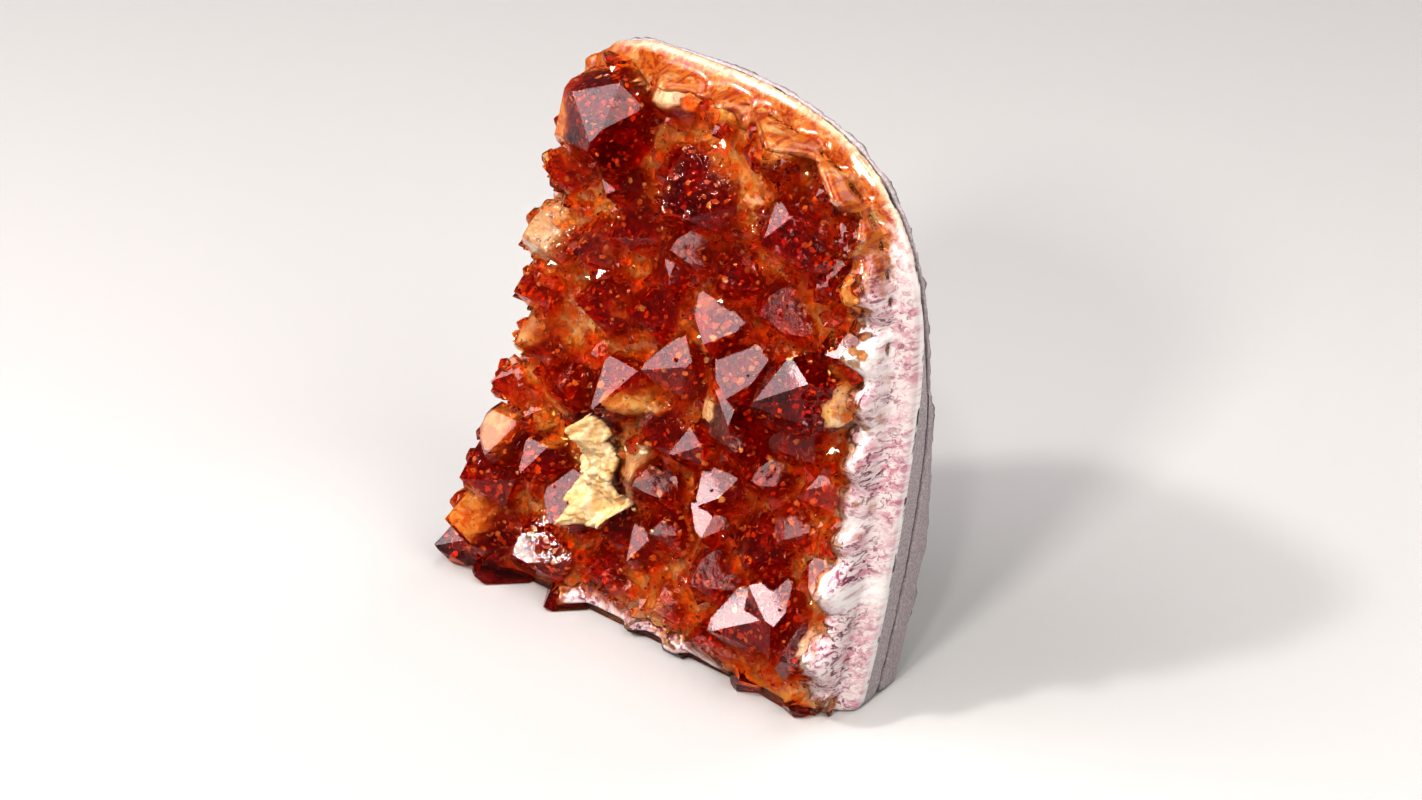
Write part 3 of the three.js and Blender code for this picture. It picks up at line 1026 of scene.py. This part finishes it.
@dataclass
class MilkyRoots:
    """The milky layer that the crystals are rooted in, seen through them."""

    ground: Ground
    sunk: float = 0.12 * MM
    least: float = 0.75 * MM
    swell: float = 1.0 * MM
    plume: float = 0.4
    most: float = 0.82
    lump_size: float = 3.2 * MM
    lump_middle: float = 0.5
    lump_gain: float = 0.7
    ragged_size: float = 2.0 * MM
    plume_size: float = 5.0 * MM
    patch_ragged: float = 0.3
    patch_edge: Span = (1.2, 0.75)
    rim_edge: Span = (6.0 * MM, 1.5 * MM)
    rim_ragged: float = 2.0 * MM
    rim_cover: float = 0.35 * MM
    rim_gain: float = 1.6
    rim_most: float = 1.5
    rim_below: Span = (92 * MM, 72 * MM)
    deep_cover: Span = (1.2 * MM, 5.0 * MM)
    finish: MilkyFinish = MilkyFinish()
    patches: tuple[Patch, ...] = (
        Patch(-2.0, 108.5, 4.6, 3.6, 0.05, 0.5),
        Patch(8.5, 109.0, 5.0, 3.5, 0.3),
        Patch(20.0, 106.0, 5.0, 4.0, 0.7),
        Patch(41.0, 86.0, 3.0, 8.0, 0.2),
        Patch(41.5, 64.0, 3.0, 4.5, 0.25),
        Patch(-4.0, 37.0, 5.0, 5.5, 0.1, 0.3),
        Patch(-4.0, 47.0, 5.0, 2.8, 0.3),
        Patch(-23.0, 37.0, 4.0, 6.0, 0.35),
        Patch(13.0, 53.0, 3.4, 2.6, 0.05, 0.3),
        Patch(14.8, 92.5, 2.5, 4.0, 0.3),
        Patch(-5.0, 57.5, 4.0, 3.0, 0.5),
        Patch(-28.0, 73.0, 4.5, 6.5, 0.1, 0.6),
        Patch(-22.0, 97.0, 3.0, 5.0, 0.6),
        Patch(-31.0, 54.0, 4.0, 6.0, 0.3, 0.3),
        Patch(-34.5, 31.0, 3.5, 5.0, 0.5, 0.2),
        Patch(-38.0, 11.0, 4.5, 6.0, 0.6),
        Patch(1.0, 2.5, 16.0, 4.0, 0.2, 0.8),
        Patch(3.0, 9.0, 4.0, 3.0, 0.4),
        Patch(43.0, 25.0, 3.2, 4.0, 0.1),
        Patch(42.5, 17.5, 3.0, 3.0, 0.3),
    )

    def shape(self) -> tuple[np.ndarray, np.ndarray]:
        """The layer's form over the grid.

        Returns:
            How far it rises into the crust, and how pale it is.
        """
        ground = self.ground
        lumps = ground.noise(self.lump_size)
        ragged = ground.noise(self.ragged_size)
        plumes = np.clip(ground.noise(self.plume_size), 0.0, 1.0)
        rise = self.least + self.swell * np.clip(self.lump_middle + self.lump_gain * lumps, 0.0, 1.0)
        rise = np.minimum(rise + self.plume * plumes * ground.thick, self.most * ground.thick)
        pale = np.zeros_like(rise)
        for patch in self.patches:
            away = np.hypot(
                (ground.across / MM - patch.x) / patch.half_width,
                (ground.along / MM - patch.w) / patch.half_height,
            )
            share = fade(away + self.patch_ragged * ragged, *self.patch_edge)
            raised = np.maximum(ground.thick - patch.cover * MM, self.least)
            rise = rise + share * (raised - rise)
            pale = np.maximum(pale, share * patch.pale)
        rim_gap = ground.rim_gap(ground.across, ground.along)
        share = fade(rim_gap + self.rim_ragged * ragged, *self.rim_edge)
        share *= fade(ground.along, *self.rim_below)
        cover = self.rim_cover * (1.0 + self.rim_gain * np.clip(lumps + ragged, 0.0, self.rim_most))
        raised = np.maximum(ground.thick - cover, self.least)
        rise = rise + share * (raised - rise)
        return rise, np.maximum(pale, share)

    def build(self) -> None:
        """Builds and dresses the layer."""
        ground = self.ground
        kept = ground.shrunk()
        rise, pale = self.shape()
        obj = ground.sheet("milky_roots", kept, ground.back - rise, ground.back + self.sunk)
        add_attribute(obj, "pale", np.tile(pale[kept], 2))
        deep = fade(ground.thick - rise, *self.deep_cover)
        add_attribute(obj, "deep", np.tile(deep[kept], 2))
        dress(obj, self.finish.build())


@dataclass
class CrystalBuilder:
    """Collects small six-sided crystals into one mesh."""

    name: str
    seed: int
    sides: int = 6
    taper: float = 0.86
    tip: Span = (0.7, 1.1)
    tip_aside: float = 0.25
    least_shoulder: float = 0.15
    uneven: Span = (0.88, 1.08)
    chance: random.Random = field(init=False)
    points: list[Vector] = field(default_factory=list)
    faces: list[list[int]] = field(default_factory=list)
    taken: list[tuple[Vector, float]] = field(default_factory=list)

    def __post_init__(self) -> None:
        """Starts the chance that varies the crystals."""
        self.chance = random.Random(self.seed)

    def tilted(self, axis: Vector, most: float) -> Vector:
        """A direction turned away from an axis by chance.

        Args:
            axis: The direction to start from.
            most: The largest share of sideways lean.

        Returns:
            The new direction.
        """
        lean = Vector([self.chance.uniform(-most, most) for _ in range(3)])
        return (axis + lean).normalized()

    def add(self, foot: Vector, axis: Vector, half_width: float, rise: float) -> None:
        """Adds one crystal.

        Args:
            foot: Middle of its base.
            axis: The way it points.
            half_width: Half its width.
            rise: Its height.
        """
        turn = axis.to_track_quat("Z", "Y") @ Quaternion((0.0, 0.0, 1.0), self.chance.uniform(0.0, math.pi))
        shoulder = rise - half_width * self.chance.uniform(*self.tip)
        off_x, off_y = (self.chance.uniform(-self.tip_aside, self.tip_aside) for _ in range(2))
        aside = Vector((off_x, off_y, 0.0)) * half_width
        first = len(self.points)
        top = first + self.sides
        self.taken.append((foot, math.hypot(half_width, rise)))
        for height, share in ((0.0, 1.0), (max(shoulder, self.least_shoulder * rise), self.taper)):
            for k in range(self.sides):
                angle = k * 2 * math.pi / self.sides
                reach = half_width * share * self.chance.uniform(*self.uneven)
                corner = Vector((math.cos(angle) * reach, math.sin(angle) * reach, height))
                self.points.append(foot + turn @ corner)
        self.points.append(foot + turn @ (aside + Vector((0.0, 0.0, rise))))
        self.faces.append([first + k for k in reversed(range(self.sides))])
        for k in range(self.sides):
            after = (k + 1) % self.sides
            self.faces.append([first + k, first + after, top + after])
            self.faces.append([first + k, top + after, top + k])
            self.faces.append([top + k, top + after, top + self.sides])

    def clear_of(self, foot: Vector, reach: float) -> bool:
        """Whether a new crystal would touch none of this mesh's crystals.

        Args:
            foot: Middle of its base.
            reach: Distance from there to its farthest corner.

        Returns:
            True where it is clear.
        """
        return all((foot - other).length > reach + far for other, far in self.taken)

    def finish(self) -> bpy.types.Object:
        """The mesh of all the crystals."""
        return new_object(self.name, self.points, self.faces, False)


def spread(spots: np.ndarray, spacing: float, seed: int) -> np.ndarray:
    """Picks places by chance that keep a distance from each other.

    Args:
        spots: Places to choose from, as x and w.
        spacing: The least distance in metres.
        seed: Start of the chance.

    Returns:
        The chosen places.
    """
    order = np.random.default_rng(seed).permutation(len(spots))
    chosen: list[np.ndarray] = []
    for spot in spots[order]:
        if not chosen or np.hypot(*(np.array(chosen) - spot).T).min() > spacing:
            chosen.append(spot)
    return np.array(chosen)


@dataclass(frozen=True)
class Brood:
    """A kind of smaller crystal: sizes in millimetres, and heights as shares of the half width."""

    spacing: float
    half_width: Span
    height: Span
    lean: float


@dataclass
class CrystalCrust:
    """The citrine crystals of the solid, with smaller ones grown in between, as one clear body."""

    ground: Ground
    finish: CitrineFinish = CitrineFinish()
    hollow: float = 3.2 * MM
    sunk: float = 0.7 * MM
    sunk_share: float = 0.4
    lowest: float = 2.2 * MM
    clear_steps: int = 2
    edge_reach: float = 8 * MM
    edge_from: Span = (4 * MM, 58 * MM)
    group_count: int = 8
    seed: int = 7
    medium: Brood = Brood(3.3, (1.2, 2.3), (0.7, 1.4), 0.45)
    small: Brood = Brood(1.7, (0.6, 1.2), (0.8, 1.5), 0.45)
    sprinkle: Brood = Brood(8.0, (0.3, 0.6), (0.8, 1.4), 0.3)
    elbow_room: float = 1.3 * MM
    break_span: float = 14 * MM
    break_out: float = 0.4 * MM
    break_rough: float = 0.9 * MM
    break_grain: float = 5 * MM
    break_step: float = 1.2 * MM
    break_heights: Span = (-2 * MM, 117 * MM)
    break_depths: Span = (-32 * MM, 8 * MM)
    break_far: float = -80 * MM

    def spots(self, kept: np.ndarray, brood: Brood) -> np.ndarray:
        """Places for a kind of crystal.

        Args:
            kept: Which places of the grid are open to it.
            brood: The kind of crystal.

        Returns:
            The chosen places, as x and w.
        """
        open_spots = np.stack([self.ground.across[kept], self.ground.along[kept]], axis=1)
        return spread(open_spots, brood.spacing * MM, self.seed)

    def grow(self, groups: list[CrystalBuilder], spots: np.ndarray, brood: Brood) -> None:
        """Adds crystals of one kind, each to the first group in which it touches no other.

        Args:
            groups: The groups so far.
            spots: Where they stand, as x and w.
            brood: The kind of crystal.
        """
        chance = random.Random(self.seed)
        for x, w in spots:
            place, normal = self.ground.landing(x, w)
            half_width = chance.uniform(*brood.half_width) * MM
            rise = half_width * chance.uniform(*brood.height)
            if place.z < self.lowest + half_width:
                continue
            axis = groups[0].tilted((normal - SLAB.inwards).normalized(), brood.lean)
            sunk = self.sunk + self.sunk_share * half_width
            foot = place - axis * sunk
            reach = math.hypot(half_width, rise + sunk)
            free = [g for g in groups if g.clear_of(foot, reach)]
            if free:
                free[0].add(foot, axis, half_width, rise + sunk)

    def beyond_break(self) -> bpy.types.Object:
        """All that lies left of the line along which the crust has broken off.

        Returns:
            A closed solid.
        """
        ground = self.ground
        rows = ground.inside.any(axis=0)
        left = ground.across[:, 0][np.argmax(ground.inside, axis=0)]
        heights = ground.along[0]
        ws = np.arange(*self.break_heights, self.break_step)
        ds = np.arange(*self.break_depths, self.break_step)
        near = np.abs(ws[:, None] - heights[None, rows]) < self.break_span / 2
        near[~near.any(axis=1), -1] = True
        line = (near * left[rows]).sum(axis=1) / near.sum(axis=1) - self.break_out
        along, deep = np.meshgrid(ws, ds, indexing="ij")
        spots = np.stack([np.repeat(line, len(ds)), along.ravel(), deep.ravel()], axis=1)
        edge = spots[:, 0] + self.break_rough * turbulence(spots, self.break_grain)
        front = [SLAB.place(x, w, d) for x, (_, w, d) in zip(edge, spots)]
        back = [SLAB.place(self.break_far, w, d) for _, w, d in spots]
        number = np.arange(along.size).reshape(along.shape)
        quads = np.stack([number[:-1, :-1], number[:-1, 1:], number[1:, 1:], number[1:, :-1]], axis=-1)
        return closed_shell("beyond_break", front, back, quads.reshape(-1, 4).tolist())

    def build(self) -> None:
        """Builds and dresses the crust."""
        ground = self.ground
        groups = [CrystalBuilder(f"grown_{k}", self.seed + k) for k in range(self.group_count)]
        upper_edge = ground.rim_gap(ground.across, ground.along) < self.edge_reach
        upper_edge &= (ground.across > self.edge_from[0]) & (ground.along > self.edge_from[1])
        clear = ground.shrunk(self.clear_steps)
        low = clear & (upper_edge | (ground.thick < self.hollow))
        medium = self.spots(low, self.medium)
        self.grow(groups, medium, self.medium)
        room = np.full(ground.across.shape, np.inf)
        for x, w in medium:
            room = np.minimum(room, np.hypot(ground.across - x, ground.along - w))
        self.grow(groups, self.spots(low & (room > self.elbow_room), self.small), self.small)
        self.grow(groups, self.spots(clear & ~low, self.sprinkle), self.sprinkle)
        crust = plain_copy(Layer.CRUST, "crystals")
        for group in groups:
            combine(crust, group.finish(), "UNION")
        combine(crust, self.beyond_break(), "DIFFERENCE")
        shade(crust, False)
        dress(crust, self.finish.build())
        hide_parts(Layer.CRUST.value)


@dataclass
class Inclusions:
    """Thin bright flakes inside the larger crystals, most of them near the roots."""

    ground: Ground
    least_thick: float = 3.5 * MM
    clear_steps: int = 3
    spacing: float = 1.25 * MM
    together: int = 2
    root_gap: float = 1.0 * MM
    margin: float = 1.8 * MM
    sides: int = 5
    reach: Span = (0.2 * MM, 0.85 * MM)
    uneven: Span = (0.5, 1.2)
    half_thick: float = 0.12
    seed: int = 3
    finish: InclusionFinish = InclusionFinish()

    def corners(self, middle: Vector, chance: random.Random) -> list[Vector]:
        """Corners of one flake, turned by chance.

        Args:
            middle: Its middle.
            chance: What varies it.

        Returns:
            Its rim, then the middles of both its faces.
        """
        turn = Quaternion([chance.gauss(0.0, 1.0) for _ in range(4)]).normalized()
        reach = chance.uniform(*self.reach)
        flat: list[Vector] = []
        for k in range(self.sides):
            angle = 2 * math.pi * k / self.sides
            arm = reach * chance.uniform(*self.uneven)
            flat.append(Vector((math.cos(angle) * arm, math.sin(angle) * arm, 0.0)))
        flat += [Vector((0.0, 0.0, side * self.half_thick * reach)) for side in (1, -1)]
        return [middle + turn @ corner for corner in flat]

    def build(self) -> None:
        """Builds and dresses the flakes."""
        ground = self.ground
        chance = random.Random(self.seed)
        deep = ground.shrunk(self.clear_steps) & (ground.thick > self.least_thick)
        lookup = {(ground.across[i, j], ground.along[i, j]): (i, j) for i, j in np.argwhere(deep)}
        spots = spread(np.array(list(lookup)), self.spacing, self.seed)
        points: list[Vector] = []
        faces: list[list[int]] = []
        for x, w in np.repeat(spots, self.together, axis=0):
            spot = lookup[(x, w)]
            depth = ground.back[spot] - self.root_gap - (ground.thick[spot] - self.margin) * chance.random()
            first = len(points)
            points += self.corners(SLAB.place(x, w, depth), chance)
            for k in range(self.sides):
                after = (k + 1) % self.sides
                faces.append([first + k, first + after, first + self.sides])
                faces.append([first + after, first + k, first + self.sides + 1])
        dress(new_object("inclusions", points, faces, False), self.finish.build())


@dataclass
class CreamScar:
    """The rough cream face of a broken crystal, drawn as an outline on the slab's face in millimetres."""

    step: float = 0.3 * MM
    box: tuple[float, float, float, float] = (-19 * MM, -1 * MM, 17 * MM, 44 * MM)
    rounds: int = 30
    proud: float = 0.25 * MM
    sunk: float = 0.5 * MM
    relief: float = 1.5 * MM
    ridges: tuple[Span, ...] = ((2.4 * MM, 1.2), (0.8 * MM, 0.5))
    finish: ScarFinish = ScarFinish()
    outline: tuple[Span, ...] = (
        (-13.6, 41.7), (-11.3, 41.2), (-9.1, 38.7), (-9.7, 37.1), (-8.0, 35.3), (-7.0, 33.8), (-7.6, 29.2),
        (-5.9, 27.5), (-3.2, 25.7), (-6.7, 22.3), (-7.9, 20.1), (-10.9, 19.3), (-12.6, 19.6), (-15.6, 19.1),
        (-14.4, 23.1), (-16.3, 23.8), (-15.1, 28.7), (-17.0, 29.5), (-16.8, 31.8), (-15.5, 34.3),
        (-17.0, 35.6), (-15.9, 39.0),
    )

    def covers(self, ground: Ground) -> np.ndarray:
        """Which places of a grid lie within the outline.

        Args:
            ground: The grid.

        Returns:
            True where they do.
        """
        x, w = ground.across / MM, ground.along / MM
        within = np.zeros(x.shape, dtype=bool)
        for (ax, aw), (bx, bw) in zip(self.outline, self.outline[1:] + self.outline[:1]):
            crosses = (aw > w) != (bw > w)
            if aw != bw:
                within ^= crosses & (x < ax + (w - aw) / (bw - aw) * (bx - ax))
        return within & ground.inside

    def build(self) -> None:
        """Builds and dresses the scar."""
        ground = Ground(self.step, box=self.box)
        front = ground.front.copy()
        for _ in range(self.rounds):
            front = np.minimum(ground.front, sum(np.roll(front, s, (0, 1)) for s in STEPS) / len(STEPS))
        ridges = sum(height * np.abs(ground.noise(width)) for width, height in self.ridges)
        rough = self.proud + self.relief * ridges
        obj = ground.sheet("cream_scar", self.covers(ground), front - rough, ground.front + self.sunk)
        dress(obj, self.finish.build())


@dataclass
class QuartzWall:
    """The quartz under the crystals: its polished rim laps their sawn edge, and its left edge is broken."""

    ground: Ground
    voxel: float = 0.6 * MM
    rounds: int = 2
    skin_rounds: int = 1
    proud: float = 0.12 * MM
    lining: float = 1.7 * MM
    least: float = 1.3 * MM
    reach: float = 3.4 * MM
    wander: float = 2.4 * MM
    wander_size: float = 12 * MM
    wander_octaves: int = 2
    ragged: float = 1.8 * MM
    ragged_size: float = 2.5 * MM
    crest: Span = (104 * MM, 84 * MM)
    crest_share: float = 0.15
    most_inwards: float = 0.35
    lowest: float = 0.4 * MM
    lap: float = 2.0 * MM
    lap_gap: Span = (1.6 * MM, 0.6 * MM)
    sawn_proud: float = 0.45 * MM
    sawn_gap: Span = (1.7 * MM, 1.0 * MM)
    skin_gap: float = 0.9 * MM
    seam_rounds: int = 24
    seam_gap: Span = (2.4 * MM, 1.0 * MM)
    seam_reach: Span = (2.4 * MM, 1.2 * MM)
    seam_least: float = 0.01
    bare_reach: float = 4.0 * MM
    bare_spots: tuple[tuple[float, float, float], ...] = ((43.0, 73.0, 4.0), (47.5, 27.0, 3.6))
    bare_core: float = 0.6
    torn: float = 0.6
    torn_size: float = 3.0 * MM
    break_from: float = -18 * MM
    break_fade: float = 8 * MM
    break_depth: float = 0.5 * MM
    break_size: float = 3.0 * MM
    break_octaves: int = 5
    finish: PolishedQuartzFinish = PolishedQuartzFinish()

    def bare(self, x: np.ndarray, w: np.ndarray) -> np.ndarray:
        """How far places on the face lie on bare white quartz, from 0 to 1.

        Args:
            x: Metres across.
            w: Metres up along the face.

        Returns:
            One share a place.
        """
        share = np.zeros(x.shape)
        torn = 1.0 + self.torn * turbulence(np.stack([x, w, share], axis=1), self.torn_size)
        for spot_x, spot_w, size in self.bare_spots:
            away = np.hypot(x / MM - spot_x, w / MM - spot_w) * torn
            share = np.maximum(share, fade(away, size, self.bare_core * size))
        return share

    def edge_skin(self) -> bpy.types.Object:
        """Quartz over the crust's sawn edge, with a ragged border towards the crystals.

        Returns:
            A thin closed body.
        """
        whole = plain_copy(Layer.CRUST, "edge_whole")
        even_out(whole, self.voxel, self.skin_rounds)
        places, normals = vertices(whole), vertex_normals(whole)
        quads = np.array([list(p.vertices) for p in whole.data.polygons])
        bpy.data.objects.remove(whole)
        x, w, _ = SLAB.coords(places).T
        below = fade(w, *self.crest)
        border = self.reach * (self.crest_share + (1.0 - self.crest_share) * below)
        border += self.bare_reach * self.bare(x, w)
        border += self.wander * turbulence(places, self.wander_size, self.wander_octaves) * below
        border = np.maximum(border + self.ragged * turbulence(places, self.ragged_size), self.least)
        rim_gap = self.ground.rim_gap(x, w)
        outer = (rim_gap < border) & (normals @ np.array(SLAB.inwards) < self.most_inwards)
        kept = quads[outer[quads].all(axis=1) & (places[quads, 2].min(axis=1) > self.lowest)]
        used, numbers = np.unique(kept, return_inverse=True)
        lap = fade(gaps(places[used], self.ground.wall), *self.lap_gap) * self.lap
        proud = self.proud + self.sawn_proud * fade(rim_gap[used], *self.sawn_gap)
        front = places[used] + normals[used] * proud[:, None] + np.outer(lap, np.array(SLAB.inwards))
        back = front - normals[used] * self.lining
        return closed_shell("edge_skin", front, back, numbers.reshape(kept.shape).tolist())

    def close_seam(self, obj: bpy.types.Object) -> None:
        """Smooths away the groove between the wall and the quartz over the crust's edge.

        Args:
            obj: The wall with its skin.
        """
        places = vertices(obj)
        x, w, _ = SLAB.coords(places).T
        share = fade(gaps(places, self.ground.crust), *self.seam_gap)
        share *= fade(self.ground.rim_gap(x, w), *self.seam_reach)
        group = obj.vertex_groups.new(name="seam")
        for number in np.nonzero(share > self.seam_least)[0]:
            group.add([int(number)], float(share[number]), "REPLACE")
        soften = obj.modifiers.new("seam", "SMOOTH")
        soften.vertex_group = "seam"
        soften.iterations = self.seam_rounds
        settle(obj)

    def build(self) -> None:
        """Builds and dresses the wall."""
        obj = plain_copy(Layer.WALL, "polished_wall")
        combine(obj, self.edge_skin(), "UNION")
        even_out(obj, self.voxel, self.rounds)
        self.close_seam(obj)
        places = vertices(obj)
        broken = np.clip((self.break_from - places[:, 0]) / self.break_fade, 0.0, 1.0)
        broken *= places[:, 2] > BASE
        rough = turbulence(places, self.break_size, self.break_octaves) * self.break_depth * broken
        places = places + vertex_normals(obj) * rough[:, None]
        move_vertices(obj, places)
        x, w, _ = SLAB.coords(places).T
        crust_gap = gaps(places, self.ground.crust)
        rim_gap = self.ground.rim_gap(x, w)
        add_attribute(obj, "depth", np.where(crust_gap < self.skin_gap, rim_gap, -crust_gap))
        add_attribute(obj, "bare", self.bare(x, w))
        add_attribute(obj, "rind_gap", gaps(places, tree_of(Layer.RIND)))
        dress(obj, self.finish.build())
        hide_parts(Layer.WALL.value)


@dataclass
class RockRind:
    """The rind of volcanic rock, sawn at its rim and rough behind."""

    voxel: float = 0.65 * MM
    rounds: int = 1
    relief: float = 0.7 * MM
    lump_size: float = 6.0 * MM
    lump_octaves: int = 6
    grain_size: float = 1.8 * MM
    grain_share: float = 0.5
    natural_gain: float = 2.0
    natural_from: float = 0.4
    finish: RockFinish = RockFinish()

    def build(self) -> None:
        """Builds and dresses the rind."""
        obj = plain_copy(Layer.RIND, "rind")
        even_out(obj, self.voxel, self.rounds)
        places = vertices(obj)
        normals = vertex_normals(obj)
        behind = normals @ np.array(SLAB.inwards)
        natural = np.clip(behind * self.natural_gain - self.natural_from, 0.0, 1.0) * (places[:, 2] > BASE)
        rough = turbulence(places, self.lump_size, self.lump_octaves)
        rough += self.grain_share * turbulence(places, self.grain_size)
        move_vertices(obj, places + normals * (self.relief * natural * rough)[:, None])
        add_attribute(obj, "natural", natural)
        dress(obj, self.finish.build())
        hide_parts(Layer.RIND.value)


@dataclass
class SoftBox:
    """A square soft light aimed at the stone."""

    name: str
    towards: tuple[float, float, float]
    distance: float
    side: float
    radiance: float
    tint: Colour

    def build(self, target: Vector) -> None:
        """Hangs the light.

        Args:
            target: What it is aimed at.
        """
        light = bpy.data.lights.new(self.name, "AREA")
        light.shape = "SQUARE"
        light.size = self.side
        light.color = self.tint
        light.energy = self.radiance * math.pi * self.side**2
        obj = linked(self.name, light)
        way = Vector(self.towards).normalized()
        obj.location = target + way * self.distance
        obj.rotation_euler = way.to_track_quat("Z", "Y").to_euler()


@dataclass
class Studio:
    """Camera, soft lights and a pale floor."""

    azimuth: float = math.radians(38.55)
    elevation: float = math.radians(32.42)
    distance: float = 0.6
    lens_pixels: float = 3305.0
    picture: tuple[int, int] = (1422, 800)
    centre_at: Span = (698.6, 348.3)
    sensor: float = 36.0
    nearest: float = 0.01
    boxes: tuple[SoftBox, ...] = (
        SoftBox("key_box", (-0.526, -0.383, 0.759), 0.8, 0.46, 4.8, (1.0, 0.94, 0.97)),
        SoftBox("spark_lamp", (-0.40, -0.50, 0.77), 0.9, 0.07, 220.0, (1.0, 0.98, 0.95)),
        SoftBox("glint_lamp", (0.30, -0.55, 0.78), 0.9, 0.05, 150.0, (1.0, 0.98, 0.95)),
        SoftBox("front_box", (0.10, -0.80, 0.60), 1.0, 0.16, 60.0, (1.0, 0.97, 0.92)),
        SoftBox("side_box", (0.80, -0.10, 0.59), 0.9, 0.6, 3.9, (1.0, 0.97, 0.95)),
        SoftBox("back_box", (0.25, 0.80, 0.55), 1.2, 0.7, 2.2, (1.0, 0.98, 0.95)),
        SoftBox("top_box", (0.17, 0.04, 0.985), 0.85, 0.4, 4.0, (1.0, 0.96, 0.97)),
        SoftBox("low_right_glint", (-0.465, -0.505, 0.728), 0.723, 0.03, 6.0, (1.0, 0.99, 0.98)),
        SoftBox("right_glint", (-0.442, -0.402, 0.802), 0.75, 0.024, 7.0, (1.0, 0.99, 0.98)),
        SoftBox("middle_glint", (-0.500, -0.457, 0.735), 0.738, 0.02, 5.0, (1.0, 0.99, 0.98)),
    )
    world_tint: Colour = (0.92, 0.94, 1.0)
    world_strength: float = 0.12
    exposure: float = 0.6
    gamma: float = 0.70
    floor_side: float = 6.0
    floor_drop: float = 0.3 * MM
    noise_left: float = 0.035
    bounces: int = 8
    glossy_bounces: int = 3
    diffuse_bounces: int = 2
    brightest_indirect: float = 6.0
    glossy_blur: float = 0.3

    def camera(self, middle: Vector) -> None:
        """Sets the camera where the stone fills the picture as in the photograph.

        Args:
            middle: Middle of the stone's box.
        """
        a, e = self.azimuth, self.elevation
        back = Vector((math.sin(a) * math.cos(e), -math.cos(a) * math.cos(e), math.sin(e)))
        right = Vector((math.cos(a), math.sin(a), 0.0))
        up = back.cross(right)
        metres = self.distance / self.lens_pixels
        aside = (self.picture[0] / 2 - self.centre_at[0]) * metres
        below = (self.centre_at[1] - self.picture[1] / 2) * metres
        target = middle + right * aside + up * below
        data = bpy.data.cameras.new("view")
        data.sensor_width = self.sensor
        data.lens = self.lens_pixels / self.picture[0] * self.sensor
        data.clip_start = self.nearest
        obj = linked("view", data)
        obj.location = middle + back * self.distance
        obj.rotation_euler = (obj.location - target).to_track_quat("Z", "Y").to_euler()
        bpy.context.scene.camera = obj

    def surroundings(self) -> None:
        """Lays the floor and sets the even light from all sides."""
        half = self.floor_side / 2
        square = ((-half, -half), (half, -half), (half, half), (-half, half))
        corners = [(x, y, -self.floor_drop) for x, y in square]
        floor = new_object("floor", corners, [[0, 1, 2, 3]], False)
        floor.data.materials.append(FloorFinish().build())
        world = bpy.data.worlds.new("even_light")
        world.use_nodes = True
        background = world.node_tree.nodes["Background"]
        background.inputs["Color"].default_value = (*self.world_tint, 1.0)
        background.inputs["Strength"].default_value = self.world_strength
        bpy.context.scene.world = world

    def settings(self) -> None:
        """Sets the picture's brightness, and how often light may pass through the crystals."""
        scene = bpy.context.scene
        scene.view_settings.view_transform = "Standard"
        scene.view_settings.exposure = self.exposure
        scene.view_settings.gamma = self.gamma
        cycles = scene.cycles
        cycles.use_denoising = True
        cycles.adaptive_threshold = self.noise_left
        cycles.max_bounces = self.bounces
        cycles.transmission_bounces = self.bounces
        cycles.glossy_bounces = self.glossy_bounces
        cycles.diffuse_bounces = self.diffuse_bounces
        cycles.sample_clamp_indirect = self.brightest_indirect
        cycles.blur_glossy = self.glossy_blur

    def build(self) -> None:
        """Builds the whole studio."""
        low, high = (Vector(corner) for corner in CAD_BOX)
        middle = (low + high) / 2
        self.camera(middle)
        for box in self.boxes:
            box.build(middle)
        self.surroundings()
        self.settings()


def main() -> None:
    """Builds the studio and every piece in order."""
    logging.basicConfig(level=logging.INFO, format="%(name)s %(message)s")
    Studio().build()
    ground = Ground()
    CrystalCrust(ground).build()
    MilkyRoots(ground).build()
    Inclusions(ground).build()
    CreamScar().build()
    QuartzWall(ground).build()
    RockRind().build()


if __name__ == "__main__":
    main()
